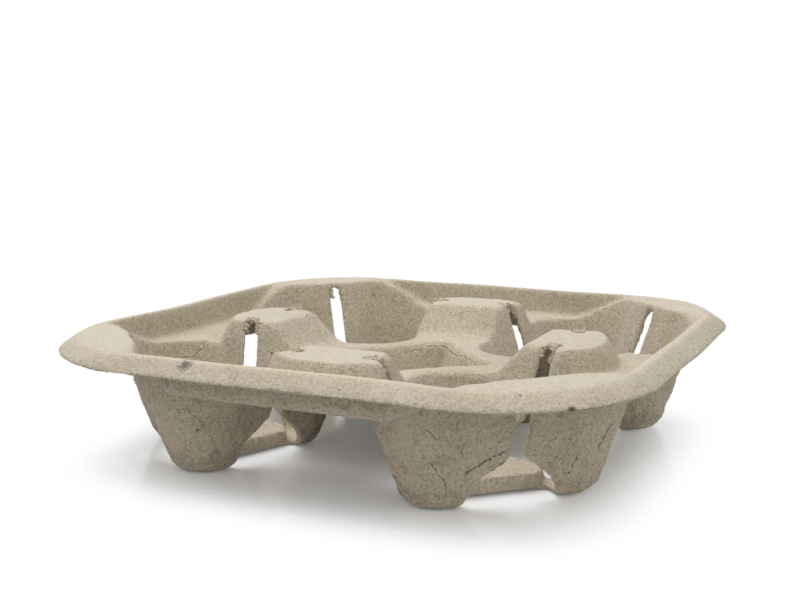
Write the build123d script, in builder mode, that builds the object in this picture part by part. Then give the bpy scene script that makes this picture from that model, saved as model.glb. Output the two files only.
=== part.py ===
"""Four-cup carrier tray moulded from paper pulp.

Frame: origin at the middle of the footprint on the table plane, +Z up,
X and Y parallel to the rim's sides. Sizes in millimetres.
"""
import os
from math import atan, cos, radians, sin, tan

from build123d import *

os.makedirs("parts", exist_ok=True)

# sheet
sheet = 2.0                    # wall thickness of the pressed pulp
side_grow = 2.16               # the same thickness measured level across a leaning wall

# rim and skirt
tray_height = 43.0             # table to rim crest
skirt_half = 107.5             # half the overall side, at the skirt's lower edge
skirt_radius = 54.8            # plan corner radius of the skirt's lower edge
skirt_low = tray_height - 5.2  # height of the skirt's lower edge
crest_half = 99.7              # half the side at the rim crest
crest_radius = 47.0            # plan corner radius at the rim crest
skirt_level = 3.3              # skirt thickness measured level
crest_round = 2.0              # rounding of the crest

# wells: three leaning cones for lobes, with flat gripping faces between them
well_centre = 69.3             # tray axis to well axis, along the diagonal
grip_turn = 116.0              # outer gripping slot to each inner one, degrees
side_turn = 58.0               # outward diagonal to a side lobe, degrees
side_reach = 24.5              # well axis to a side lobe's own axis
side_mouth = 25.4              # radius of the side lobes' underside at rim height
side_foot = 11.0               # the same at table height
inner_reach = 21.5             # the same three for the lobe next to the tray's middle
inner_mouth = 25.7
inner_foot = 10.0
outer_face_mouth = 36.9        # well axis to the outer gripping face, underside, at rim height
outer_face_foot = 20.6         # the same at table height
inner_face_turn = 120.6        # outward diagonal to the inner gripping faces' normals
inner_face_mouth = 36.0
inner_face_foot = 19.6
foot_round = 5.0               # rounding under the feet

# raised floor in each well
island_top = 6.0               # height of the floor the cup stands on
island_radius = 19.5           # radius of the raised floor
island_flat = 14.0             # well axis to the floor's cut-off sides
lip_clear = 0.6                # gap under the cut-off sides

# gripping slots and the openings at their feet
slot_width = 4.6
slot_high = tray_height - 2.4
arch_base = 17.0               # half width of the opening at table height
arch_knee = 13.5               # half width of the opening at floor height
arch_knee_high = 6.8
arch_top = 15.8
opening_depth = 26.0

# humps between the wells
hump_top = tray_height - 2
hump_axis = 46.0               # tray axis to the centre of the hump's round outer end
hump_reach = 41.0              # that centre to the foot of the hump's round end
hump_end = 26.5                # that centre to the top of the round end
hump_round = 4.0
saddle_floor = hump_top - 8.6  # low ridge from hump to rim
saddle_wall = 97.2             # tray axis to the rim wall above the saddle
saddle_draft = 1.0
saddle_mouth = 60.0            # half width of the saddle at rim height
saddle_foot = 36.0             # half width at the saddle floor

# middle: sloping inner ends of the humps, four ridges and the pit
middle_top = 51.0              # half width between the humps at their tops
middle_low = 40.0              # half width at the ridges
middle_round = 8.0
ridge_top = hump_top - 12
pit_arc = 80.0                 # radius of the pit's hollow sides at the ridges
pit_arc_centre = 101.0         # tray axis to those arcs' centres, along the diagonal
pit_floor = ridge_top - 16
pit_lean = 0.4                 # level run of the pit's sides for each mm of depth
pit_half = 31.5                # tray axis to the pit's blunt corners
pit_round = 2.0


def leaning(turn: float, foot: float, mouth: float) -> Plane:
    """Plane of a wall that leans outward, foot and mouth being its level distances."""
    away = (cos(radians(turn)), sin(radians(turn)))
    lean = (mouth - foot) / tray_height
    return Plane(origin=(foot * away[0], foot * away[1], 0), z_dir=(*away, -lean))


def filled_lobe(foot: float, mouth: float, floor: float, rounding: float, steps: int) -> Part:
    """One lobe of a well as a cone, with its foot rounded off in flat steps."""
    lean = (mouth - foot) / tray_height
    low = foot + lean * floor
    turned = radians(90) - atan(lean)
    centre = (low - rounding * tan(turned / 2), floor + rounding)
    bend = [
        (centre[0] + rounding * sin(turned * k / steps), centre[1] - rounding * cos(turned * k / steps))
        for k in range(steps + 1)
    ]
    with BuildPart() as lobe:
        with BuildSketch(Plane.XZ):
            Polygon((0, floor), *bend, (mouth, tray_height), (0, tray_height), align=None)
        revolve(axis=Axis.Z)
    return lobe.part


def filled_well(grow: float, floor: float) -> Part:
    """One well filled to the rim: its underside, or its upper side with grow below zero."""
    inset = -grow / side_grow * sheet
    lobes = (
        (side_turn, side_reach, side_foot + grow, side_mouth + grow),
        (180, inner_reach, inner_foot + grow, inner_mouth + grow),
        (-side_turn, side_reach, side_foot + grow, side_mouth + grow),
    )
    grips = (
        (0, outer_face_foot, outer_face_mouth),
        (inner_face_turn, inner_face_foot, inner_face_mouth),
        (-inner_face_turn, inner_face_foot, inner_face_mouth),
    )
    with BuildPart() as well:
        with BuildSketch(Plane.XY.offset(floor)):
            Circle(2 * outer_face_mouth)
        extrude(amount=tray_height - floor)
        for turn, foot, mouth in grips:
            split(bisect_by=leaning(turn, foot + grow, mouth + grow), keep=Keep.BOTTOM)
        for turn, out, foot, mouth in lobes:
            within = leaning(turn, out + 0.4 * foot, out + 0.4 * mouth)
            split(bisect_by=within, keep=Keep.BOTTOM)
        sole = well.faces().sort_by(Axis.Z)[0]
        gripping = [
            sole.edges().sort_by(Axis((0, 0, 0), (cos(radians(t)), sin(radians(t)), 0)))[-1]
            for t, _, _ in grips
        ]
        fillet(gripping, foot_round - inset)
        for turn, out, foot, mouth in lobes:
            with Locations((out * cos(radians(turn)), out * sin(radians(turn)), 0)):
                add(filled_lobe(foot, mouth, floor, foot_round - inset, 2 if floor == 0 else 1))
        with BuildSketch(Plane.XY.offset(floor)):
            Circle(island_radius - sheet + inset)
            for turn in (0, grip_turn, -grip_turn):
                with PolarLocations(island_flat - sheet + inset + 10, 1, start_angle=turn):
                    Rectangle(20, 60, mode=Mode.SUBTRACT)
        extrude(amount=island_top - sheet, mode=Mode.SUBTRACT)
    return well.part


def filled_saddle(drop: float) -> Part:
    """The space above the low ridge between a hump's round end and the rim."""
    low = saddle_floor - drop
    side = drop / sheet * side_grow
    fall = (hump_reach - hump_end) / (hump_top - saddle_floor)
    with BuildPart() as saddle:
        for level, wall, half in (
            (low, saddle_wall - saddle_draft + drop, saddle_foot + side),
            (tray_height, saddle_wall + drop, saddle_mouth + side),
        ):
            with BuildSketch(Plane.XY.offset(level)):
                with Locations(((hump_axis + wall) / 2, 0)):
                    Rectangle(wall - hump_axis, 2 * half)
        loft(ruled=True)
        with BuildSketch(Plane.XZ):
            foot = hump_axis + hump_reach - drop * (1 + fall**2) ** 0.5 + drop * fall
            upper = foot - fall * (tray_height - low)
            Polygon(
                (foot, low), (upper, tray_height), (hump_axis, tray_height), (hump_axis, low),
                align=None,
            )
        revolve(axis=Axis((hump_axis, 0, 0), (0, 0, 1)), mode=Mode.SUBTRACT)
    return saddle.part


def filled_middle(drop: float) -> Part:
    """The space between the humps, with the pit between the four curved ridges."""
    side = drop / sheet * side_grow
    with BuildPart() as middle:
        with BuildSketch(Plane.XY.offset(hump_top - drop)):
            Rectangle(2 * middle_top + drop, 2 * middle_top + drop)
        with BuildSketch(Plane.XY.offset(ridge_top - drop)):
            Rectangle(2 * middle_low + drop, 2 * middle_low + drop)
        loft(ruled=True)
        fillet(faces().sort_by(Axis.Z)[0].edges(), middle_round + drop)
        deep = ridge_top - pit_floor
        with BuildPart(mode=Mode.PRIVATE) as pit:
            with BuildSketch(Plane.XY.offset(pit_floor - drop)):
                Rectangle(2 * pit_half + side, 2 * pit_half + side)
            extrude(amount=deep)
            with PolarLocations(pit_arc_centre, 4, start_angle=45):
                with Locations((0, 0, pit_floor - drop)):
                    Cone(
                        pit_arc - side + pit_lean * deep,
                        pit_arc - side,
                        deep,
                        align=(Align.CENTER, Align.CENTER, Align.MIN),
                        mode=Mode.SUBTRACT,
                    )
        add(pit.part)
    return middle.part


def filled_form(grow: float, drop: float, floor: float) -> Part:
    """Everything above one face of the sheet, as a solid up to the rim."""
    with BuildPart() as form:
        with PolarLocations(well_centre, 4, start_angle=45):
            add(filled_well(grow, floor))
        with PolarLocations(0, 4):
            add(filled_saddle(drop))
        add(filled_middle(drop))
        with BuildSketch(Plane.XY.offset(hump_top - drop)):
            RectangleRounded(160, 160, 50)
        extrude(amount=tray_height - hump_top + drop)
    return form.part


upper = filled_form(-side_grow, 0, sheet)

with BuildPart() as wells:
    add(filled_form(0, sheet, 0))
    add(upper, mode=Mode.SUBTRACT)

with BuildPart() as rim:
    # rim: a level border with the skirt flaring down around it
    with BuildSketch(Plane.XY.offset(tray_height)):
        RectangleRounded(2 * crest_half, 2 * crest_half, crest_radius)
    with BuildSketch(Plane.XY.offset(skirt_low)):
        RectangleRounded(2 * skirt_half, 2 * skirt_half, skirt_radius)
    loft(ruled=True)
    fillet(faces().sort_by(Axis.Z)[-1].edges(), crest_round)
    flare = (skirt_half - crest_half) / (tray_height - skirt_low)
    under_half = crest_half + sheet * flare - skirt_level
    with BuildSketch(Plane.XY.offset(tray_height - sheet)):
        RectangleRounded(2 * under_half, 2 * under_half, crest_radius)
    with BuildSketch(Plane.XY.offset(skirt_low)):
        RectangleRounded(
            2 * (skirt_half - skirt_level),
            2 * (skirt_half - skirt_level),
            skirt_radius - skirt_level,
        )
    loft(ruled=True, mode=Mode.SUBTRACT)
    add(upper, mode=Mode.SUBTRACT)

with BuildPart() as carrier_tray:
    add(wells.part)
    add(rim.part)

    def reach(edge: Edge) -> list[float]:
        return sorted((abs(edge.center().X), abs(edge.center().Y)))

    top_edges = edges().filter_by_position(Axis.Z, hump_top - 0.01, hump_top + 0.01)
    fillet(top_edges.filter_by(lambda e: reach(e)[0] < 25 and reach(e)[1] < 74), hump_round)
    low_edges = edges().filter_by_position(Axis.Z, ridge_top - 0.01, ridge_top + 0.01)
    fillet(low_edges.filter_by(lambda e: reach(e)[0] > 4 and sum(reach(e)) < 36), pit_round)

    # slots in the gripping faces of each well, opening out at the feet
    with PolarLocations(well_centre, 4, start_angle=45):
        for turn in (0, grip_turn, -grip_turn):
            with BuildPart(mode=Mode.PRIVATE) as opening:
                with BuildSketch(Plane.YZ.offset(island_flat)):
                    Polygon(
                        (-arch_base, -1),
                        (-arch_knee, arch_knee_high),
                        (-slot_width / 2, arch_top),
                        (-slot_width / 2, slot_high),
                        (slot_width / 2, slot_high),
                        (slot_width / 2, arch_top),
                        (arch_knee, arch_knee_high),
                        (arch_base, -1),
                        align=None,
                    )
                extrude(amount=opening_depth)
                with BuildSketch(Plane.YZ.offset(island_flat - sheet - 1)):
                    with Locations((0, -1)):
                        Rectangle(
                            2 * arch_knee, lip_clear + 1, align=(Align.CENTER, Align.MIN)
                        )
                extrude(amount=sheet + 2)
            add(opening.part.rotate(Axis.Z, turn), mode=Mode.SUBTRACT)

carrier_tray.part.label = "carrier_tray"
export_step(carrier_tray.part, "parts/carrier_tray.step")
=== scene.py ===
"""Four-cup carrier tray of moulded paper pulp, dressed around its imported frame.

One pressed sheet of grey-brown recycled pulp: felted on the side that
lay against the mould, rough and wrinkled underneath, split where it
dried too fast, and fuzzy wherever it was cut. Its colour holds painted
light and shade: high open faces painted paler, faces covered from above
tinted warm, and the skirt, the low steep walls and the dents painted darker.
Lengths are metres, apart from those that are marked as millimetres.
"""
import logging
from collections.abc import Callable
from dataclasses import dataclass
from enum import Enum
from functools import partial
from itertools import product
from math import cos, pi, radians, sin

import bpy
from mathutils import Matrix, Vector


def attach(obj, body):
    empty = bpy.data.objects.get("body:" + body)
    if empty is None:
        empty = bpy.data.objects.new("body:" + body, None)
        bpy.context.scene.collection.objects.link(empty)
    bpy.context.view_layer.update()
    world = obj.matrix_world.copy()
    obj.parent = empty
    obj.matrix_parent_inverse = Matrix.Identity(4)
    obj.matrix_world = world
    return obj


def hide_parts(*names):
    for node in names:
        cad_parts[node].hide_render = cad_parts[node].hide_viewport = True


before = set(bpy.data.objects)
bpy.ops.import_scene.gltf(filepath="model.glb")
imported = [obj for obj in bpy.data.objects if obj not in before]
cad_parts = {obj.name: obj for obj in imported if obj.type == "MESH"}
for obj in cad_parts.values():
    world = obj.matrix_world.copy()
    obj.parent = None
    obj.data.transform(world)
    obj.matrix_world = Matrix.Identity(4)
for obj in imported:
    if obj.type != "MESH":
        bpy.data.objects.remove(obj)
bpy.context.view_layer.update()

log = logging.getLogger("carrier_tray")
MM = 0.001
NODE = "carrier_tray"
WHITE = (1.0, 1.0, 1.0, 1.0)
MIDDLE = (0.5, 0.5, 0.5)
Point = tuple[float, float, float]
Tree = bpy.types.NodeTree
Socket = bpy.types.NodeSocket
Outputs = bpy.types.NodeOutputs
Object = bpy.types.Object
Material = bpy.types.Material
Adder = Callable[..., Socket | Outputs]
Masks = dict[str, Socket]
Sizes = dict[str, object]

# the kinds of node that the trees use most, and the setting that rounds off a range
MATH = "ShaderNodeMath"
VECTOR = "ShaderNodeVectorMath"
RANGE = "ShaderNodeMapRange"
NOISE = "ShaderNodeTexNoise"
MOVE = "GeometryNodeSetPosition"
STORE = "GeometryNodeStoreNamedAttribute"
READ = "GeometryNodeInputNamedAttribute"
PLACE = "GeometryNodeInputPosition"
NORMAL = "GeometryNodeInputNormal"
XYZ = "ShaderNodeSeparateXYZ"
SMOOTH = {"interpolation_type": "SMOOTHSTEP"}


class Mark(Enum):
    """Attributes that the relief leaves on the sheet for its finish to read."""

    UNDER = "under"
    CUT = "cut"
    # painted light: paler on the high faces open to the sky
    TOP = "top"
    HOLLOW_PAINTED_SHADE = "hollow"
    SPLIT_WAY = "split_way"
    SPLIT_DEPTH = "split_depth"


def linear(hex_colour: str) -> tuple[float, float, float, float]:
    """Turn an sRGB hex colour into linear red, green, blue and alpha.

    Args:
        hex_colour: Six hex digits, with or without a leading hash.

    Returns:
        The linear colour, with alpha 1.
    """
    digits = hex_colour.lstrip("#")
    parts = [int(digits[i:i + 2], 16) / 255 for i in (0, 2, 4)]
    values = [c / 12.92 if c <= 0.04045 else ((c + 0.055) / 1.055) ** 2.4 for c in parts]
    return (*values, 1.0)


def add_node(
    tree: Tree, kind: str, inputs: tuple | dict = (), out: int | str | None = 0, **settings: object
) -> Socket | Outputs:
    """Add one node, set its properties, and fill or link its inputs.

    Args:
        tree: The tree that takes the node.
        kind: Blender's name for the node's type.
        inputs: Values or sockets, in the order of the node's inputs or by name or number.
        out: The output to hand back, by name or number, or None for all of them.
        settings: Properties of the node, by name.

    Returns:
        The output that was asked for, or all of them.
    """
    node = tree.nodes.new(kind)
    for name, value in settings.items():
        setattr(node, name, value)
    given = inputs if isinstance(inputs, dict) else dict(enumerate(inputs))
    for key, value in given.items():
        if isinstance(value, Socket):
            tree.links.new(value, node.inputs[key])
        else:
            node.inputs[key].default_value = value
    return node.outputs if out is None else node.outputs[out]


def dress(
    draft: Object, grow: Callable[[Adder, Outputs], Socket], sizes: Sizes, material: Material
) -> None:
    """Put a geometry node tree on an object, with one named input for each size.

    The tree ends in real geometry in its finish. Its inputs are set by their identifiers.

    Args:
        draft: The object.
        grow: Adds the tree's own nodes, given what adds one and the inputs' sockets.
        sizes: The values of its inputs, by the inputs' names.
        material: The finish.
    """
    kinds = {int: "NodeSocketInt", float: "NodeSocketFloat", Object: "NodeSocketObject"}
    tree = bpy.data.node_groups.new(draft.name, "GeometryNodeTree")
    for way in ("INPUT", "OUTPUT"):
        tree.interface.new_socket("Geometry", in_out=way, socket_type="NodeSocketGeometry")
    for name, value in sizes.items():
        tree.interface.new_socket(name, in_out="INPUT", socket_type=kinds[type(value)])
    node = partial(add_node, tree)
    grown = grow(node, node("NodeGroupInput", out=None))
    real = node("GeometryNodeRealizeInstances", (grown,))
    dressed = node("GeometryNodeSetMaterial", {"Geometry": real, "Material": material})
    node("NodeGroupOutput", (dressed,), out=None)
    modifier = draft.modifiers.new("dress", "NODES")
    modifier.node_group = tree
    for item in tree.interface.items_tree:
        if item.in_out == "INPUT" and item.name in sizes:
            modifier[item.identifier] = sizes[item.name]


def put_in_scene(name: str, data: bpy.types.ID) -> Object:
    """Make an object of a mesh, a lamp or a camera and link it into the scene.

    Args:
        name: The object's name.
        data: What it shows.

    Returns:
        The object, at the origin.
    """
    made = bpy.data.objects.new(name, data)
    bpy.context.scene.collection.objects.link(made)
    return made


def helper_lines(name: str, points: list[Vector], edges: list[tuple[int, int]]) -> Object:
    """Make a helper of loose points and edges, which is removed once it has been used.

    Args:
        name: The helper's name.
        points: Its points.
        edges: Its edges, as pairs of points' numbers.

    Returns:
        The helper.
    """
    mesh = bpy.data.meshes.new(name)
    mesh.from_pydata(points, edges, [])
    return put_in_scene(name, mesh)


def evaluated(draft: Object) -> Object:
    """Work out what an object's modifiers make of it.

    Args:
        draft: The object.

    Returns:
        Its evaluated copy.
    """
    bpy.context.view_layer.update()
    return draft.evaluated_get(bpy.context.evaluated_depsgraph_get())


def plain_piece(name: str, draft: Object) -> Object:
    """Turn a draft and its modifiers into a plain mesh piece, and remove the draft.

    Args:
        name: The piece's name.
        draft: The object with its modifiers.

    Returns:
        The piece, at the origin.
    """
    piece = put_in_scene(name, bpy.data.meshes.new_from_object(evaluated(draft)))
    bpy.data.objects.remove(draft)
    log.info("%s: %d faces", name, len(piece.data.polygons))
    return piece


def new_material(name: str) -> tuple[Material, Adder]:
    """Start a material with an empty tree.

    Args:
        name: The real material's name.

    Returns:
        The material, and what adds a node to its tree.
    """
    material = bpy.data.materials.new(name)
    material.use_nodes = True
    material.node_tree.nodes.clear()
    return material, partial(add_node, material.node_tree)


def on_square(node: Adder, place: Socket) -> tuple[Socket, Socket, Socket]:
    """Measure where a point is on the tray, whose four sides are alike.

    Args:
        node: Adds a node to the tree.
        place: The point's position.

    Returns:
        Its distance out towards the nearest side, its distance along that side from the
        side's middle, and its height.
    """
    level = node(VECTOR, (place,), operation="ABSOLUTE")
    across = node(XYZ, (level,), out=None)
    outward, along = (
        node(MATH, (across[0], across[1]), operation=kind)
        for kind in ("MAXIMUM", "MINIMUM")
    )
    return outward, along, across[2]


def shake(node: Adder, size: float, detail: float, amounts: tuple[Socket | float, ...]) -> Socket:
    """Shift points by noise, as far one way as the other.

    Args:
        node: Adds a node to the tree.
        size: The size of the noise's features.
        detail: How finely they are broken up.
        amounts: What the shift is multiplied by.

    Returns:
        Each point's shift.
    """
    place = node(PLACE)
    shift = node(NOISE, {"Vector": place, "Scale": 1 / size, "Detail": detail}, out="Color")
    shift = node(VECTOR, (shift, MIDDLE), operation="SUBTRACT")
    for by in amounts:
        shift = node(VECTOR, {0: shift, "Scale": by}, operation="SCALE")
    return shift


@dataclass(frozen=True)
class Pulp:
    """Moulded paper pulp: recycled fibre, drawn onto a wire mould and dried.

    Dry fibre scatters light with almost no gloss. Warm and grey fibres lie mixed,
    so it is speckled close to; high faces open to the sky are painted paler, as painted light from above.
    Real fibres are finer than the render shows, so they are drawn 0.6 mm wide.
    """

    pale: str = "#D6CDBA"
    dull: str = "#BCB09A"
    deep: str = "#8F816B"
    warm: str = "#AD9468"
    # painted warm light for the faces in shade under the pulp
    tan: str = "#D9C6A2"
    cool: str = "#A3A195"
    crack: str = "#51442F"
    torn: str = "#D6CBB2"
    ink: str = "#4C4C49"
    chalk: str = "#F1EDE2"
    roughness: float = 0.93
    cloud_mm: float = 26.0
    mottle_mm: float = 5.0
    grain_mm: float = 1.2
    fibre_mm: float = 0.62
    fleck_mm: float = 13.0
    crease_mm: float = 7.0
    crepe_mm: float = 2.6
    split_mm: float = 0.22
    blot: Point = (-29.9, -101.6, 41.7)
    blot_mm: float = 3.2
    blot_ragged_mm: float = 4.2
    hole: Point = (91.5, -89.9, 38.2)
    hole_mm: float = 2.1
    hole_ragged_mm: float = 0.9
    bump_strength: float = 0.8
    bump_depth: float = 0.5 * MM
    # each mask, the share of it that is laid on, and its colour, from the bottom up
    layers: tuple[tuple[str, float, str], ...] = (
        ("cloud", 0.45, pale),
        ("mottle", 0.16, deep),
        # under: faces covered from above are tinted tan, a painted warm light in their shade
        ("under", 0.40, tan),
        # low_wall_painted_shade: painted shade, darker on the low steep walls near the floor
        ("low_wall_painted_shade", 0.45, deep),
        # skirt: painted shade, darker on the rim's outer skirt
        ("skirt", 0.22, deep),
        # hollow: painted shade in the sheet's dents
        ("hollow", 0.35, deep),
        # top: painted light, paler on the high faces open to the sky
        ("top", 0.55, pale),
        ("cut", 0.40, torn),
        ("warm", 0.22, warm),
        ("cool", 0.22, cool),
        ("crepe", 0.40, pale),
        ("grain_low", 0.48, deep),
        ("grain_high", 0.48, pale),
        ("fibre_low", 0.62, deep),
        ("fibre_high", 0.62, pale),
        ("hairline", 0.65, crack),
        ("lip", 0.22, torn),
        ("dark_fleck", 0.80, ink),
        ("chalk_fleck", 0.90, chalk),
        ("blot", 0.80, ink),
        ("hole", 0.95, crack),
        ("split", 0.80, crack),
    )
    bumps: tuple[tuple[str, float], ...] = (
        ("grain_high", 0.5), ("grain_low", -0.5), ("fibre_high", 0.35), ("fibre_low", -0.35),
        ("crepe", 1.1), ("hairline", -0.6),
    )

    def noises(self, node: Adder, place: Socket) -> Masks:
        """Stretch noise of each feature size into a mask from 0 to 1.

        Args:
            node: Adds a node to the tree.
            place: Object coordinates.

        Returns:
            The masks by name.
        """
        # name, size in mm, shift, detail, roughness, and the noise that is 0 and 1 in the mask
        kinds = (
            ("cloud", self.cloud_mm, 0.0, 3, 0.55, 0.30, 0.70),
            ("mottle", self.mottle_mm, 0.3, 4, 0.65, 0.35, 0.70),
            ("grain_high", self.grain_mm, 0.0, 3, 0.60, 0.50, 0.68),
            ("grain_low", self.grain_mm, 0.0, 3, 0.60, 0.50, 0.32),
            ("fibre_high", self.fibre_mm, 0.7, 2, 0.70, 0.50, 0.70),
            ("fibre_low", self.fibre_mm, 0.7, 2, 0.70, 0.50, 0.30),
            ("warm", self.grain_mm, 1.1, 2, 0.60, 0.52, 0.66),
            ("cool", self.grain_mm, 1.9, 2, 0.60, 0.52, 0.66),
            ("crepe", self.crepe_mm, 0.5, 3, 0.60, 0.32, 0.68),
            ("ragged", self.fibre_mm, 2.3, 2, 0.60, 0.20, 0.80),
        )
        masks = {}
        for name, size_mm, shift, detail, rough, low, high in kinds:
            moved = node(VECTOR, (place, (shift, 0.0, 0.0)), operation="ADD")
            noise = node(
                NOISE, {"Vector": moved, "Scale": 1 / (size_mm * MM), "Detail": detail, "Roughness": rough}
            )
            masks[name] = node(RANGE, (noise, low, high), **SMOOTH)
        return masks

    def spots(self, node: Adder, place: Socket, masks: Masks) -> None:
        """Add masks for what is small and scattered: creases, splits, flecks, blot and pinhole.

        Args:
            node: Adds a node to the tree.
            place: Object coordinates.
            masks: The masks so far, which get the new ones.
        """
        way = node("ShaderNodeAttribute", out="Vector", attribute_name=Mark.SPLIT_WAY.value)
        away = node(VECTOR, (way,), out="Value", operation="LENGTH")
        crease = node(
            NOISE, {"Vector": place, "Scale": 1 / (self.crease_mm * MM), "Detail": 4.0, "Roughness": 0.55}
        )
        crease = node(MATH, (crease, 0.5), operation="SUBTRACT")
        crease = node(MATH, (crease,), operation="ABSOLUTE")
        # name, distance, how ragged the edge is, and the distances where the mask is 0 and 1
        kinds = [
            ("hairline", crease, 0.030, 0.006, 0.0),
            ("split", away, 0.3 * MM, self.split_mm * MM, 0.4 * self.split_mm * MM),
            ("lip", away, 0.8 * MM, 1.1 * MM, 0.4 * MM),
        ]
        for name, spot, size_mm, ragged_mm in (
            ("blot", self.blot, self.blot_mm, self.blot_ragged_mm),
            ("hole", self.hole, self.hole_mm, self.hole_ragged_mm),
        ):
            middle = tuple(v * MM for v in spot)
            far = node(VECTOR, (place, middle), out="Value", operation="DISTANCE")
            kinds.append((name, far, ragged_mm * MM, size_mm * MM, 0.3 * size_mm * MM))
        # name, size of its cells beside fleck_mm, and how far a fleck reaches in its cell
        for name, scale, reach in (("dark_fleck", 1.0, 0.055), ("chalk_fleck", 1.5, 0.035)):
            cell = self.fleck_mm * scale * MM
            near = node("ShaderNodeTexVoronoi", {"Vector": place, "Scale": 1 / cell}, out="Distance")
            kinds.append((name, near, 0.05, reach, 0.5 * reach))
        for name, distance, ragged, start, full in kinds:
            shift = node(MATH, (masks["ragged"], ragged, -0.5 * ragged), operation="MULTIPLY_ADD")
            torn = node(MATH, (distance, shift), operation="ADD")
            masks[name] = node(RANGE, (torn, start, full), **SMOOTH)

    def regions(self, node: Adder, place: Socket, masks: Masks) -> None:
        """Add painted-shade masks for the skirt and the low steep walls, and keep each mask to its own
        part.

        Args:
            node: Adds a node to the tree.
            place: Object coordinates.
            masks: The masks so far, which get the new ones and are cut back.
        """
        # the high open faces, painted paler as painted light, show less of the pattern, and the wire side
        # more of the hairlines
        calm, crumpled = (
            node(MATH, (masks[name], by, least), operation="MULTIPLY_ADD")
            for name, by, least in (("top", -0.45, 1.0), ("under", 0.7, 0.3))
        )
        outward, _, height = on_square(node, place)
        facing = node("ShaderNodeNewGeometry", out="Normal")
        upright = node(XYZ, (facing,), out=2)
        upright = node(MATH, (upright,), operation="ABSOLUTE")
        # name, value, and where it makes the mask 0 and 1
        for name, value, low, high in (
            # painted shade on the rim's outer skirt
            ("skirt", outward, 99 * MM, 102 * MM),
            # painted shade on the low steep walls near the floor
            ("low_wall_painted_shade", height, 8.5 * MM, 5.5 * MM),
            # steep picks the upright faces that take the low walls' painted shade
            ("steep", upright, 0.7, 0.4),
        ):
            masks[name] = node(RANGE, (value, low, high), **SMOOTH)
        factors = [
            ("lip", masks["split_depth"]), ("split", masks["split_depth"]), ("low_wall_painted_shade", masks["steep"]),
            ("hairline", crumpled), ("hairline", masks["mottle"]), ("crepe", masks["under"]),
        ]
        quiet = ("grain_low", "grain_high", "fibre_low", "fibre_high", "hairline")
        for name, factor in factors + [(name, calm) for name in quiet]:
            masks[name] = node(MATH, (masks[name], factor), operation="MULTIPLY", use_clamp=True)

    def build(self) -> Material:
        """Make the pulp's material.

        Returns:
            The material, patterned in object coordinates.
        """
        material, node = new_material("moulded_paper_pulp")
        place = node("ShaderNodeTexCoord", out="Object")
        masks = self.noises(node, place)
        for mark in (Mark.UNDER, Mark.CUT, Mark.TOP, Mark.HOLLOW_PAINTED_SHADE, Mark.SPLIT_DEPTH):
            masks[mark.value] = node("ShaderNodeAttribute", out="Fac", attribute_name=mark.value)
        self.spots(node, place, masks)
        self.regions(node, place, masks)

        colour = linear(self.dull)
        for name, amount, tone in self.layers:
            share = node(MATH, (masks[name], amount), operation="MULTIPLY")
            colour = node("ShaderNodeMix", {0: share, 6: colour, 7: linear(tone)}, out=2, data_type="RGBA")
        # the wire side, underneath, is rougher than the side that was pressed
        rough_side = node(MATH, (masks["under"], 0.45, 0.35), operation="MULTIPLY_ADD")
        height = 0.0
        for name, amount in self.bumps:
            height = node(MATH, (masks[name], amount, height), operation="MULTIPLY_ADD")
        for operation, value in (("MULTIPLY", rough_side), ("SUBTRACT", masks["split"])):
            height = node(MATH, (height, value), operation=operation)
        bump = node(
            "ShaderNodeBump",
            {"Strength": self.bump_strength, "Distance": self.bump_depth, "Height": height},
        )
        shader = node(
            "ShaderNodeBsdfPrincipled",
            {
                "Base Color": colour,
                "Roughness": self.roughness,
                "Specular IOR Level": 0.25,
                "Sheen Weight": 0.10,
                "Sheen Roughness": 0.6,
                "Normal": bump,
            },
        )
        node("ShaderNodeOutputMaterial", {"Surface": shader}, out=None)
        return material


@dataclass(frozen=True)
class Split:
    """One split or crease in the dried pulp.

    Its run and its lip's height are in millimetres. It comes back on each of the
    quarters that it names, turned about the tray's middle.
    """

    run: tuple[Point, ...]
    lip: float
    quarters: tuple[int, ...] = (0,)


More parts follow.
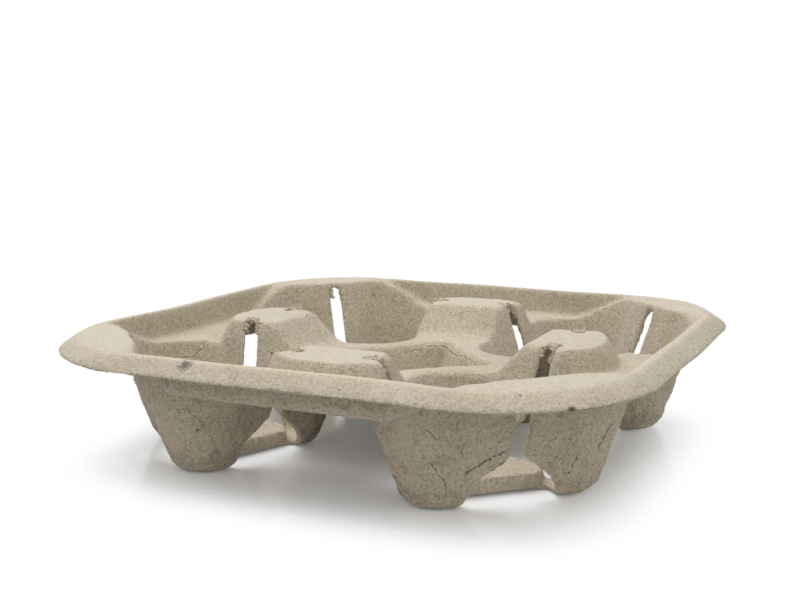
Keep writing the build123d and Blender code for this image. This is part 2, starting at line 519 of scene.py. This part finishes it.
SPLITS = (
    # outer wall of the near well; its like are on the wells that it turns onto
    Split(((66.4, -71.2, 19.6), (63.1, -73.4, 17.5), (59.7, -76.1, 16.2), (57.9, -79.4, 14.5),
           (56.0, -81.1, 12.3), (55.3, -80.6, 9.6)), 1.3, (0, 1, 2)),
    Split(((65.4, -70.1, 15.5), (62.9, -71.8, 14.0), (59.9, -73.1, 10.8)), 0.8, (0, 2)),
    Split(((48.6, -89.3, 18.8), (48.9, -88.3, 15.8), (49.7, -86.9, 13.3), (51.2, -85.4, 11.4),
           (51.0, -84.1, 7.6), (49.5, -83.9, 4.9)), 0.8, (0, 1, 3)),
    Split(((36.6, -88.0, 17.2), (37.4, -87.6, 15.1)), 0.6, (0, 2)),
    Split(((47.8, -92.9, 28.9), (49.7, -92.1, 27.6), (51.2, -90.5, 25.1)), 0.9, (0, 1)),
    Split(((58.3, -85.1, 24.6), (56.6, -85.2, 21.4), (56.3, -84.1, 18.4)), 0.7, (0, 3)),
    Split(((57.9, -88.8, 32.0), (56.3, -89.4, 29.9), (56.0, -88.6, 27.6)), 0.6, (0, 1, 2)),
    Split(((33.9, -83.6, 10.3), (36.1, -84.4, 8.2), (38.7, -84.6, 5.2), (40.8, -84.7, 3.6)), 1.0, (0, 2)),
    # its right-hand lobe
    Split(((83.2, -56.0, 15.8), (81.5, -55.8, 12.2), (80.2, -55.5, 9.5), (78.2, -56.2, 8.2)), 1.1,
          (0, 2, 3)),
    Split(((92.2, -47.1, 26.4), (90.0, -49.9, 21.8), (88.1, -50.8, 18.0), (87.6, -50.1, 15.9)), 1.0,
          (0, 1)),
    Split(((88.6, -45.6, 14.8), (86.7, -43.2, 8.8), (85.7, -43.9, 5.6)), 0.9, (0, 1, 2)),
    # outer wall of the left well
    Split(((-37.5, -91.6, 26.1), (-34.3, -87.7, 19.5)), 1.0),
    Split(((-53.8, -83.4, 11.5), (-48.5, -85.3, 7.2)), 0.8),
    # gap where the rim's skirt has come away from that lobe
    Split(((92.4, -89.4, 38.0), (94.4, -87.0, 38.1), (97.0, -83.6, 38.0), (99.6, -80.0, 37.9),
           (101.0, -77.0, 37.9)), 1.0, (0, 2)),
    # creases across the rim and down its inner wall
    Split(((-10.4, -101.4, 41.9), (-9.4, -106.5, 38.5)), 0.5, (0, 1)),
    Split(((-65.4, -101.2, 40.9), (-63.2, -105.9, 38.1)), 0.5, (0, 2)),
    Split(((-97.7, -13.5, 43.0), (-96.3, -8.3, 33.3)), 1.0, (0, 2)),
    Split(((-96.3, -27.7, 33.9), (-96.3, -19.9, 33.8), (-94.7, -13.6, 32.4)), 0.5),
    Split(((72.1, 75.4, 39.2), (75.2, 71.0, 41.2), (78.3, 68.4, 42.3)), 1.2, (0, 2)),
    Split(((85.4, 61.2, 38.5), (93.0, 54.2, 40.5)), 0.7),
    Split(((27.8, 83.9, 30.9), (29.5, 85.7, 30.2), (31.9, 86.8, 28.0)), 0.9, (0, 3)),
    Split(((100.8, -32.3, 42.3), (102.8, -36.0, 40.9)), 0.5, (0, 1, 2)),
    Split(((103.9, 7.0, 40.2), (106.3, 0.2, 38.6)), 0.5, (0, 3)),
    # the ridges round the middle pit and the hump behind it
    Split(((-11.7, 16.3, 25.6), (-8.4, 20.9, 26.7), (-4.5, 26.9, 27.5), (-1.0, 31.5, 27.3),
           (1.9, 29.8, 26.2), (7.7, 21.3, 26.2), (15.2, 13.7, 27.3), (23.7, 6.3, 27.0)), 1.1),
    Split(((15.9, -22.7, 29.0), (20.3, -21.7, 28.3), (25.4, -17.9, 28.0), (29.6, -16.2, 28.2),
           (34.2, -15.9, 27.8), (37.3, -16.5, 27.0)), 1.2, (0, 2)),
    Split(((1.7, 49.7, 39.6), (6.3, 49.3, 39.2), (9.8, 50.7, 40.3), (13.1, 50.5, 40.2)), 0.8, (0, 1)),
    # torn edge of the low ridge beside the left well
    Split(((-85.3, -30.9, 26.6), (-81.6, -28.3, 26.0), (-79.1, -26.5, 27.8), (-75.0, -24.2, 32.1),
           (-71.7, -23.6, 33.4), (-68.0, -22.3, 34.6), (-66.0, -21.1, 36.1)), 1.4, (0, 2)),
)


@dataclass
class PulpSheet:
    """The pressed sheet itself: the frame's tray with the unevenness of dried pulp."""

    weld: float = 0.002 * MM
    voxel: float = 0.75 * MM
    most_triangles: int = 192000
    soften: int = 8
    # noise seldom leaves the middle of its range, so the warp's is stretched
    stretch: float = 2.6
    warp: float = 1.3 * MM
    warp_size: float = 85 * MM
    lump: float = 0.42 * MM
    lump_size: float = 12 * MM
    wrinkle: float = 1.0 * MM
    wrinkle_size: float = 4.6 * MM
    fold_width: float = 0.11
    seed: float = 7.0
    # how far above to look for pulp, and how far behind to look for the sheet's other face
    cover_reach: float = 80 * MM
    through_reach: float = 3.6 * MM
    split_step: float = 0.8 * MM
    split_shake: float = 3.4 * MM
    shake_size: float = 2.2 * MM
    lip_reach: float = 3.0 * MM
    lip_low: float = -0.25 * MM
    lip_high: float = 0.4 * MM
    lip_side: Point = (0.3, 0.1, -0.9)
    lip_blend: float = 0.5 * MM
    # the humps' outer ends: round where they stand, and three slopes as start, end and rise in mm
    hump_axis: float = 46 * MM
    hump_steps: tuple[tuple[float, float, float], ...] = (
        (26.0, 29.5, 1.3), (27.5, 34.0, -5.9), (33.0, 41.0, 4.6),
    )
    hump_wobble_mm: float = 3.0
    hump_wobble_size: float = 14 * MM
    # the distance out and the height over which that sets in
    hump_out: tuple[float, float] = (56 * MM, 63 * MM)
    hump_up: tuple[float, float] = (16 * MM, 28 * MM)

    def split_lines(self) -> Object:
        """Lay every split as a run of edges, with its lip height on its points.

        Returns:
            The helper object, which is removed once the sheet is made.
        """
        points, edges, lips = [], [], []
        for split in SPLITS:
            for quarter in split.quarters:
                turn = Matrix.Rotation(quarter * pi / 2, 4, "Z")
                for number, spot in enumerate(split.run):
                    if number:
                        edges.append((len(points) - 1, len(points)))
                    points.append(turn @ Vector(spot) * MM)
                    lips.append(split.lip)
        lines = helper_lines("split_lines", points, edges)
        lines.data.attributes.new("lip", "FLOAT", "POINT").data.foreach_set("value", lips)
        return lines

    def mark_sides(self, node: Adder, whole: Socket) -> Socket:
        """Store which face of the sheet each point is on, and where it was cut.

        A point is under where pulp lies straight above it. It is on a cut where no
        other face lies a sheet's thickness behind it.

        Args:
            node: Adds a node to the tree.
            whole: The sheet.

        Returns:
            The sheet with both marks.
        """
        marked = whole
        place = node(PLACE)
        normal = node(NORMAL)
        inward = node(VECTOR, {0: normal, "Scale": -1.0}, operation="SCALE")
        # mark, where the ray starts along the normal and upwards, its way and length, sign, blur
        rays = (
            (Mark.UNDER, 0.5 * MM, 0.5 * MM, (0.0, 0.0, 1.0), self.cover_reach, 1.0, 3),
            (Mark.CUT, -0.3 * MM, 0.0, inward, self.through_reach, -1.0, 2),
        )
        for mark, along, up, heading, length, sign, blur in rays:
            start = node(VECTOR, {0: normal, "Scale": along}, operation="SCALE")
            for shift in (place, (0.0, 0.0, up)):
                start = node(VECTOR, (start, shift), operation="ADD")
            hit = node(
                "GeometryNodeRaycast",
                {
                    "Target Geometry": whole,
                    "Source Position": start,
                    "Ray Direction": heading,
                    "Ray Length": length,
                },
                out="Is Hit",
            )
            found = node(MATH, (hit, sign, 0.5 - 0.5 * sign), operation="MULTIPLY_ADD")
            soft = node("GeometryNodeBlurAttribute", {"Value": found, "Iterations": blur})
            marked = node(STORE, {"Geometry": marked, "Name": mark.value, "Value": soft})
        return marked

    def ragged_splits(self, node: Adder, lines: Socket, lip: Socket) -> Socket:
        """Make the splits' runs ragged, and their lips lower towards both ends.

        Args:
            node: Adds a node to the tree.
            lines: The object that holds the splits.
            lip: The lips' stored height.

        Returns:
            The runs, as edges.
        """
        given = node("GeometryNodeObjectInfo", (lines,), out="Geometry")
        curves = node("GeometryNodeMeshToCurve", {"Mesh": given})
        fine = node(
            "GeometryNodeResampleCurve", {"Curve": curves, "Length": self.split_step}, mode="LENGTH"
        )
        shift = shake(node, self.shake_size, 3.0, (self.split_shake,))
        ragged = node(MOVE, {"Geometry": fine, "Offset": shift})
        centred = node("GeometryNodeSplineParameter", out="Factor")
        for operation, value in (("SUBTRACT", 0.5), ("ABSOLUTE", 0.0)):
            centred = node(MATH, (centred, value), operation=operation)
        taper = node(RANGE, (centred, 0.5, 0.3, 0.25), **SMOOTH)
        height = node(MATH, (lip, taper), operation="MULTIPLY")
        kept = node(STORE, {"Geometry": ragged, "Name": "lip", "Value": height})
        return node("GeometryNodeCurveToMesh", {"Curve": kept})

    def mark_splits(self, node: Adder, lines: Socket, sheet: Socket) -> tuple[Socket, Socket]:
        """Store each point's way to the nearest split, and find how far its lip stands up.

        Args:
            node: Adds a node to the tree.
            lines: The object that holds the splits.
            sheet: The sheet so far.

        Returns:
            The marked sheet, and the lift of each point along its normal.
        """
        lip = node(READ, {"Name": "lip"})
        runs = self.ragged_splits(node, lines, lip)
        place = node(PLACE)
        normal = node(NORMAL)
        spot = {"Geometry": runs, "Sample Position": place}
        nearest = node("GeometryNodeProximity", spot, out="Position", target_element="EDGES")
        index = node("GeometryNodeSampleNearest", spot)
        depth = node("GeometryNodeSampleIndex", {"Geometry": runs, "Value": lip, "Index": index})
        way = node(VECTOR, (place, nearest), operation="SUBTRACT")
        out = node(VECTOR, (way, normal), out="Value", operation="DOT_PRODUCT")
        straight = node(VECTOR, {0: normal, "Scale": out}, operation="SCALE")
        level = node(VECTOR, (way, straight), operation="SUBTRACT")
        # a split shows on its own face of the sheet alone
        off = node(MATH, (out,), operation="ABSOLUTE")
        same_face = node(RANGE, (off, 1.6 * MM, 1.1 * MM), **SMOOTH)
        depth = node(MATH, (depth, same_face), operation="MULTIPLY")
        for mark, kind, value in (
            (Mark.SPLIT_WAY, "FLOAT_VECTOR", level), (Mark.SPLIT_DEPTH, "FLOAT", depth)
        ):
            sheet = node(STORE, {"Geometry": sheet, "Name": mark.value, "Value": value}, data_type=kind)
        far = node(VECTOR, (level,), out="Value", operation="LENGTH")
        near = node(RANGE, (far, self.lip_reach, 0.0), **SMOOTH)
        side = node(VECTOR, (level, self.lip_side), out="Value", operation="DOT_PRODUCT")
        blend = self.lip_blend
        lift = node(RANGE, (side, -blend, blend, self.lip_low, self.lip_high), **SMOOTH)
        for factor in (near, depth):
            lift = node(MATH, (lift, factor), operation="MULTIPLY")
        return sheet, lift

    def steepen_humps(self, node: Adder, sheet: Socket) -> Socket:
        """Stand the humps' outer ends up steeply, with a flat top and a firm edge.

        Args:
            node: Adds a node to the tree.
            sheet: The sheet so far.

        Returns:
            The sheet with steeper humps.
        """
        place = node(PLACE)
        outward, along, height = on_square(node, place)
        out = node(MATH, (outward, self.hump_axis), operation="SUBTRACT")
        flat = node("ShaderNodeCombineXYZ", (out, along))
        far = node(VECTOR, (flat,), out="Value", operation="LENGTH")
        wobble = node(NOISE, {"Vector": place, "Scale": 1 / self.hump_wobble_size, "Detail": 1.0})
        far = node(MATH, (wobble, self.hump_wobble_mm * MM, far), operation="MULTIPLY_ADD")
        middle = self.hump_wobble_mm / 2
        shift = 0.0
        for start, end, rise in self.hump_steps:
            step = node(RANGE, (far, (start + middle) * MM, (end + middle) * MM, 0.0, rise * MM), **SMOOTH)
            shift = node(MATH, (shift, step), operation="ADD")
        for value, reach in ((outward, self.hump_out), (height, self.hump_up)):
            share = node(RANGE, (value, *reach), **SMOOTH)
            shift = node(MATH, (shift, share), operation="MULTIPLY")
        upward = node("ShaderNodeCombineXYZ", {2: shift})
        return node(MOVE, {"Geometry": sheet, "Offset": upward})

    def unevenness(
        self, node: Adder, given: Outputs, under: Socket, kept: Socket
    ) -> tuple[Socket, Socket]:
        """Work out how the drying pulp warped, and how far it stands out in lumps and folds.

        Args:
            node: Adds a node to the tree.
            given: The tree's named inputs.
            under: How far each point is on the wire side.
            kept: The share of the unevenness that is kept beside cuts.

        Returns:
            Each point's shift by the warp, and its height along its normal.
        """
        place = node(PLACE)
        height = node(XYZ, (place,), out=2)
        # the rim warped freely, and the feet dried flat
        risen, seated = (
            node(RANGE, (height, low, high, least), **SMOOTH)
            for low, high, least in ((4 * MM, 40 * MM, 0.0), (0.0, 5 * MM, 0.3))
        )
        # streaks run up and down, the way that wet pulp drags off the mould
        drawn = node(VECTOR, (place, (1.0, 1.0, 0.4)), operation="MULTIPLY")
        found = {}
        for name, where, size, offset, detail in (
            ("warp", place, "Warp Size", 0.0, 1),
            ("lump", place, "Lump Size", 11.0, 2),
            ("wrinkle", drawn, "Wrinkle Size", 23.0, 3),
            ("patch", place, "Lump Size", 31.0, 1),
        ):
            seed = node(MATH, (given["Seed"], offset), operation="ADD")
            scale = node(MATH, (1.0, given[size]), operation="DIVIDE")
            found[name] = node(
                NOISE, {"Vector": where, "W": seed, "Scale": scale, "Detail": detail, "Roughness": 0.55},
                out=None, noise_dimensions="4D",
            )
        warp = node(VECTOR, (found["warp"]["Color"], MIDDLE), operation="SUBTRACT")
        for by in (self.stretch, given["Warp"], risen):
            warp = node(VECTOR, {0: warp, "Scale": by}, operation="SCALE")

        lump, fold = (
            node(MATH, (found[name][0], 0.5), operation="SUBTRACT")
            for name in ("lump", "wrinkle")
        )
        # a fold runs where the noise crosses its middle
        fold = node(MATH, (fold,), operation="ABSOLUTE")
        fold = node(MATH, (self.fold_width, fold), operation="SUBTRACT")
        patch = node(RANGE, (found["patch"][0], 0.4, 0.62, 0.5))
        relief = 0.0
        # value, size, share on the pressed side, extra share on the wire side, and patchiness
        for value, by, plain, extra, patchy in (
            (lump, "Lump", 1.5, 1.5, 1.0),
            (fold, "Wrinkle", 0.6, 6.4, patch),
        ):
            rough = node(MATH, (under, extra, plain), operation="MULTIPLY_ADD")
            for factor in (rough, given[by], seated, kept, patchy):
                value = node(MATH, (value, factor), operation="MULTIPLY")
            relief = node(MATH, (relief, value), operation="ADD")
        return warp, relief

    def top_painted_light(self, node: Adder, under: Socket) -> Socket:
        """Find the high level faces that are open above, which are painted paler as painted light from
        above.

        Args:
            node: Adds a node to the tree.
            under: How far each point is on the wire side.

        Returns:
            How much painted light each point gets, from 0 to 1.
        """
        height, upright = (node(XYZ, (node(kind),), out=2) for kind in (PLACE, NORMAL))
        # level and high faces count in full, and low ones a fifth
        top_light_share, high = (
            node(RANGE, values, **SMOOTH)
            for values in ((upright, 0.7, 0.97), (height, 20 * MM, 38 * MM, 0.2))
        )
        open_side = node(MATH, (1.0, under), operation="SUBTRACT")
        for factor in (high, open_side):
            top_light_share = node(MATH, (top_light_share, factor), operation="MULTIPLY")
        return top_light_share

    def grow(self, node: Adder, given: Outputs) -> Socket:
        """Mark the sheet's faces and make it as uneven as dried pulp.

        Args:
            node: Adds a node to the tree.
            given: The tree's named inputs.

        Returns:
            The finished geometry.
        """
        place = node(PLACE)
        normal = node(NORMAL)
        sheet = self.mark_sides(node, given["Geometry"])
        under, cut = (node(READ, {"Name": mark.value}) for mark in (Mark.UNDER, Mark.CUT))
        # beside a cut the sheet keeps its shape
        kept = node(RANGE, (cut, 0.35, 0.03, 0.15))
        rounded = node(
            "GeometryNodeBlurAttribute", {"Value": place, "Iterations": given["Soften"], "Weight": kept},
            data_type="FLOAT_VECTOR",
        )
        sheet = node(MOVE, {"Geometry": sheet, "Position": rounded})
        sheet = self.steepen_humps(node, sheet)
        sheet, lift = self.mark_splits(node, given["Split Lines"], sheet)

        warp, relief = self.unevenness(node, given, under, kept)
        total = node(MATH, (relief, lift), operation="ADD")
        outward = node(VECTOR, {0: normal, "Scale": total}, operation="SCALE")
        offset = node(VECTOR, (warp, outward), operation="ADD")
        # painted shade: the dents where the relief sinks are marked to be coloured darker
        hollow = node(RANGE, (relief, 0.1 * MM, -0.45 * MM))
        sheet = node(STORE, {"Geometry": sheet, "Name": Mark.HOLLOW_PAINTED_SHADE.value, "Value": hollow})
        sheet = node(MOVE, {"Geometry": sheet, "Offset": offset})
        # the feet stand on the table and not in it
        standing = node(VECTOR, (place, (-1.0, -1.0, 0.0)), operation="MAXIMUM")
        sheet = node(MOVE, {"Geometry": sheet, "Position": standing})
        # painted light: the high faces open to the sky are marked to be coloured paler
        top_light_share = self.top_painted_light(node, under)
        sheet = node(STORE, {"Geometry": sheet, "Name": Mark.TOP.value, "Value": top_light_share})
        return node("GeometryNodeSetShadeSmooth", (sheet,))

    def build(self, source: Object, material: Material) -> Object:
        """Copy the frame's tray, even out its mesh, roughen it and thin out its flat parts.

        Args:
            source: The frame's tray, which is left alone.
            material: The pulp finish.

        Returns:
            The pulp sheet as a plain mesh object at the origin.
        """
        lines = self.split_lines()
        mesh = source.data.copy()
        mesh.materials.clear()
        draft = put_in_scene("pulp_draft", mesh)
        weld = draft.modifiers.new("weld", "WELD")
        weld.merge_threshold = self.weld
        skin = draft.modifiers.new("even_mesh", "REMESH")
        skin.mode = "VOXEL"
        skin.voxel_size = self.voxel
        skin.use_smooth_shade = True
        sizes = {
            "Split Lines": lines,
            "Soften": self.soften,
            "Warp": self.warp,
            "Warp Size": self.warp_size,
            "Lump": self.lump,
            "Lump Size": self.lump_size,
            "Wrinkle": self.wrinkle,
            "Wrinkle Size": self.wrinkle_size,
            "Seed": self.seed,
        }
        dress(draft, self.grow, sizes, material)
        triangles = sum(len(face.vertices) - 2 for face in evaluated(draft).data.polygons)
        log.info("rough sheet: %d triangles", triangles)
        thin = draft.modifiers.new("fewer_flat_faces", "DECIMATE")
        thin.ratio = min(1.0, self.most_triangles / triangles)
        piece = plain_piece("pulp_sheet", draft)
        bpy.data.objects.remove(lines)
        return piece


@dataclass
class TornScraps:
    """Crumbs of pulp that hang where the punch tore the tops of the slots."""

    well: float = 49 * MM
    # each slot by the quarter its well is in and its turn from the well's outward corner
    slots: tuple[tuple[int, float], ...] = (
        (0, 116.0), (0, -116.0), (1, 116.0), (1, -116.0), (1, 0.0),
        (2, 116.0), (2, -116.0), (3, 116.0), (3, -116.0),
    )
    reach: float = 34.2 * MM
    highest: float = 40.2 * MM
    drop: float = 0.85 * MM
    lean: float = 0.38
    spread: float = 2.15 * MM
    each: int = 6
    rows: int = 3
    row_step: float = 1.2 * MM
    row_spread_mm: float = 1.2
    row_sunk: float = 0.2 * MM
    half_length: float = 1.5 * MM
    crumple_size: float = 1.3 * MM
    crumple: float = 1.8
    paleness: float = 0.8
    seed: int = 3

    def roots(self) -> Object:
        """Place the crumbs' centres down both edges of each slot's top.

        Returns:
            A helper object with one point for each crumb.
        """
        points = []
        for quarter, turn in self.slots:
            corner = radians(45 + 90 * quarter)
            heading = corner + radians(turn)
            away = Vector((cos(heading), sin(heading), 0.0))
            across = Vector((-sin(heading), cos(heading), 0.0))
            middle = Vector((cos(corner), sin(corner), 0.0)) * self.well * 2 ** 0.5
            for number in range(self.each):
                sunk = self.drop * number
                level = away * (self.reach - self.lean * sunk) + across * self.spread * (-1) ** number
                points.append(middle + level + Vector((0.0, 0.0, self.highest - sunk)))
            # an inner slot, which is turned, also ends in rows of crumbs on its hump
            rows = range(self.rows if turn else 0)
            for row, side in product(rows, (-self.row_spread_mm, 0.0, self.row_spread_mm)):
                level = away * (self.reach + self.row_step * (row + 1)) + across * side * MM
                points.append(middle + level + Vector((0.0, 0.0, self.highest - self.row_sunk)))
        return helper_lines("scrap_roots", points, [])

    def grow(self, node: Adder, given: Outputs) -> Socket:
        """Put a crumpled flake on each point.

        Args:
            node: Adds a node to the tree.
            given: The tree's named inputs.

        Returns:
            The finished geometry.
        """
        ball = node("GeometryNodeMeshIcoSphere", {"Radius": given["Half Length"], "Subdivisions": 2})
        # least and most turn, then least and most scale
        turned, grown = (
            node(
                "FunctionNodeRandomValue", {0: least, 1: most, "Seed": given["Seed"]},
                data_type="FLOAT_VECTOR",
            )
            for least, most in (((-0.7, -0.7, 0.0), (0.7, 0.7, 6.3)), ((0.5, 0.35, 0.4), (0.9, 0.6, 1.1)))
        )
        planted = node(
            "GeometryNodeInstanceOnPoints",
            {"Points": given["Geometry"], "Instance": ball, "Rotation": turned, "Scale": grown},
        )
        loose = node("GeometryNodeRealizeInstances", (planted,))
        crumple = shake(node, self.crumple_size, 2.0, (given["Half Length"], self.crumple))
        ragged = node(MOVE, {"Geometry": loose, "Offset": crumple})
        return node(STORE, {"Geometry": ragged, "Name": Mark.CUT.value, "Value": self.paleness})

    def build(self, material: Material) -> Object:
        """Make the crumbs.

        Args:
            material: The pulp finish.

        Returns:
            The crumbs as one plain mesh object at the origin.
        """
        roots = self.roots()
        sizes = {"Half Length": self.half_length, "Seed": self.seed}
        dress(roots, self.grow, sizes, material)
        return plain_piece("torn_scraps", roots)


@dataclass
class LooseFibres:
    """Fibres that stand out of the sheet where it was cut or has split."""

    per_square_metre: float = 90000.0
    length: float = 1.2 * MM
    thickness: float = 0.09 * MM
    sides: int = 3
    bends: int = 4
    seed: int = 5
    curl_size: float = 1.1 * MM
    curl: float = 1.6

    def bareness(self, node: Adder) -> Socket:
        """Find where fibres stand out: on cuts and on the lips of splits.

        Args:
            node: Adds a node to the tree.

        Returns:
            A share of the full density, from 0 to 1.
        """
        cut, depth = (node(READ, {"Name": mark.value}) for mark in (Mark.CUT, Mark.SPLIT_DEPTH))
        way = node(READ, {"Name": Mark.SPLIT_WAY.value}, data_type="FLOAT_VECTOR")
        away = node(VECTOR, (way,), out="Value", operation="LENGTH")
        lip = node(RANGE, (away, 1.4 * MM, 0.4 * MM))
        split = node(MATH, (lip, depth), operation="MULTIPLY")
        edge = node(RANGE, (cut, 0.3, 0.8))
        bare = node(MATH, (edge, split), operation="MAXIMUM")
        # the skirt's edge was pressed, not cut, and nothing stands out below the feet
        outward, _, height = on_square(node, node(PLACE))
        for value, none, full in ((outward, 98 * MM, 94 * MM), (height, 1.2 * MM, 2.4 * MM)):
            share = node(RANGE, (value, none, full))
            bare = node(MATH, (bare, share), operation="MULTIPLY")
        return bare

    def grow(self, node: Adder, given: Outputs) -> Socket:
        """Scatter short bent fibres over the cut edges.

        Args:
            node: Adds a node to the tree.
            given: The tree's named inputs.

        Returns:
            The finished geometry.
        """
        density = node(MATH, (self.bareness(node), given["Density"]), operation="MULTIPLY")
        roots = node(
            "GeometryNodeDistributePointsOnFaces",
            {"Mesh": given["Geometry"], "Density": density, "Seed": given["Seed"]},
            out=None,
        )
        tip = node("ShaderNodeCombineXYZ", {2: given["Length"]})
        strand = node("GeometryNodeCurvePrimitiveLine", {"End": tip})
        strand = node("GeometryNodeResampleCurve", {"Curve": strand, "Count": given["Bends"]})
        # each fibre's lean and its scale
        lean, grown = (
            node("FunctionNodeRandomValue", {low: least, high: most, "Seed": salt}, out=out, data_type=kind)
            for kind, low, high, least, most, salt, out in (
                ("FLOAT_VECTOR", 0, 1, (-1.3, -1.3, -3.1), (1.3, 1.3, 3.1), 3, 0),
                ("FLOAT", 2, 3, 0.35, 1.0, 8, 1),
            )
        )
        turned = node("FunctionNodeRotateRotation", (roots["Rotation"], lean), rotation_space="LOCAL")
        planted = node(
            "GeometryNodeInstanceOnPoints",
            {"Points": roots["Points"], "Instance": strand, "Rotation": turned, "Scale": grown},
        )
        loose = node("GeometryNodeRealizeInstances", (planted,))
        along = node("GeometryNodeSplineParameter", out="Factor")
        curl = shake(node, self.curl_size, 1.0, (along, given["Length"], self.curl))
        bent = node(MOVE, {"Geometry": loose, "Offset": curl})
        ring = node(
            "GeometryNodeCurvePrimitiveCircle", {"Resolution": given["Sides"], "Radius": given["Thickness"]}
        )
        tubes = node("GeometryNodeCurveToMesh", {"Curve": bent, "Profile Curve": ring, "Fill Caps": True})
        return node(STORE, {"Geometry": tubes, "Name": Mark.CUT.value, "Value": 1.0})

    def build(self, sheet: Object, material: Material) -> Object:
        """Scatter the fibres over the finished sheet.

        Args:
            sheet: The pulp sheet, which is left alone.
            material: The pulp finish.

        Returns:
            The fibres as a plain mesh object at the origin.
        """
        draft = put_in_scene("fibre_draft", sheet.data.copy())
        sizes = {
            "Density": self.per_square_metre,
            "Length": self.length,
            "Thickness": self.thickness,
            "Sides": self.sides,
            "Bends": self.bends,
            "Seed": self.seed,
        }
        dress(draft, self.grow, sizes, material)
        return plain_piece("loose_fibres", draft)


@dataclass(frozen=True)
class FloorSheet:
    """White cast acrylic sheet: faintly glossy, so that the tray's feet show in it.

    It fades into the white round it.
    """

    white: str = "#F4F6F9"
    roughness: float = 0.16
    glow: float = 0.10
    fade_centre: Point = (0.004, -0.014, 0.0)
    fade_start: float = 0.072
    fade_end: float = 0.108

    def build(self) -> Material:
        """Make the floor's material.

        Returns:
            The material, which shows the floor near the tray alone.
        """
        material, node = new_material("white_cast_acrylic_sheet")
        seen = node("ShaderNodeLightPath", out="Is Camera Ray")
        glow = node(MATH, (seen, self.glow), operation="MULTIPLY")
        shader = node(
            "ShaderNodeBsdfPrincipled",
            {
                "Base Color": linear(self.white),
                "Roughness": self.roughness,
                "Specular IOR Level": 0.4,
                "Emission Color": WHITE,
                "Emission Strength": glow,
            },
        )
        # distance on a rounded square, as the tray's own outline is
        place = node("ShaderNodeTexCoord", out="Object")
        place = node(VECTOR, (place, self.fade_centre), operation="SUBTRACT")
        squared = node(VECTOR, (place, place), operation="MULTIPLY")
        far = node(VECTOR, (squared,), out="Value", operation="LENGTH")
        far = node(MATH, (far,), operation="SQRT")
        fade = node(RANGE, (far, self.fade_start, self.fade_end), **SMOOTH)
        # seen from below there is no floor, so the tray's underside shows
        below = node("ShaderNodeNewGeometry", out="Backfacing")
        fade = node(MATH, (fade, below), operation="MAXIMUM")
        clear = node("ShaderNodeBsdfTransparent")
        mixed = node("ShaderNodeMixShader", (fade, shader, clear))
        node("ShaderNodeOutputMaterial", {"Surface": mixed}, out=None)
        return material


@dataclass
class Studio:
    """Pale floor, soft lamps and the camera."""

    spot: Point = (0.1837, -0.3906, 0.1170)
    ahead: Point = (-0.4295, 0.8900, -0.1530)
    lens: float = 52.17
    floor_half: float = 0.6
    floor_low: float = -0.1 * MM
    sky: float = 0.52
    aim: Point = (0.0, 0.0, 0.02)
    lamps: tuple[tuple[str, Point, float, float], ...] = (
        ("soft_box_above", (-0.30, 0.10, 1.05), 0.9, 6.9),
        ("soft_box_left", (-1.05, -0.20, 0.55), 0.6, 1.1),
        ("soft_box_right", (1.05, -0.20, 0.55), 0.6, 1.9),
        ("soft_box_in_front", (0.10, -0.75, 0.85), 0.6, 1.4),
    )

    def camera(self) -> None:
        """Set the camera where the picture was taken from."""
        data = bpy.data.cameras.new("camera")
        data.sensor_width = 36
        data.lens = self.lens
        data.clip_start = 0.01
        back = -Vector(self.ahead).normalized()
        right = Vector((0, 0, 1)).cross(back).normalized()
        up = back.cross(right)
        turn = Matrix((right, up, back)).transposed().to_4x4()
        camera = put_in_scene("camera", data)
        camera.matrix_world = Matrix.Translation(self.spot) @ turn
        bpy.context.scene.camera = camera

    def floor(self) -> Object:
        """Lay the floor.

        Returns:
            The floor object, which is no part of the tray.
        """
        mesh = bpy.data.meshes.new("floor")
        half, low = self.floor_half, self.floor_low
        corners = [(-half, -half, low), (half, -half, low), (half, half, low), (-half, half, low)]
        mesh.from_pydata(corners, [], [(0, 1, 2, 3)])
        mesh.materials.append(FloorSheet().build())
        return put_in_scene("floor", mesh)

    def hang_lamps(self) -> None:
        """Hang the square soft lamps, each facing the tray."""
        for name, spot, size, watts in self.lamps:
            data = bpy.data.lights.new(name, "AREA")
            data.size = size
            data.energy = watts
            lamp = put_in_scene(name, data)
            lamp.location = spot
            towards = Vector(self.aim) - Vector(spot)
            lamp.rotation_euler = towards.to_track_quat("-Z", "Y").to_euler()

    def world(self) -> None:
        """Light the scene from all round, with a white sky for the camera."""
        world = bpy.data.worlds.new("studio")
        bpy.context.scene.world = world
        world.use_nodes = True
        world.node_tree.nodes.clear()
        node = partial(add_node, world.node_tree)
        path = node("ShaderNodeLightPath", out=None)
        sight = path["Is Camera Ray"]
        for kind in ("Is Glossy Ray", "Is Transmission Ray"):
            sight = node(MATH, (sight, path[kind]), operation="MAXIMUM")
        soft, bright = (
            node("ShaderNodeBackground", {"Color": WHITE, "Strength": strength})
            for strength in (self.sky, 1.0)
        )
        mixed = node("ShaderNodeMixShader", (sight, soft, bright))
        node("ShaderNodeOutputWorld", {"Surface": mixed}, out=None)

    def build(self) -> Object:
        """Make the camera, the light and the floor.

        Returns:
            The floor object.
        """
        self.camera()
        self.world()
        self.hang_lamps()
        bpy.context.scene.view_settings.view_transform = "Standard"
        return self.floor()


def main() -> None:
    """Build the scene in order and report each piece."""
    floor = Studio().build()
    log.info("studio ready")
    pulp = Pulp().build()
    sheet = PulpSheet().build(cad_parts[NODE], pulp)
    fibres = LooseFibres().build(sheet, pulp)
    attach(sheet, "root")
    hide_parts(NODE)
    scraps = TornScraps().build(pulp)
    for piece in (fibres, scraps):
        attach(piece, "root")


if __name__ == "__main__":
    logging.basicConfig(level=logging.INFO, format="%(name)s: %(message)s")
    main()
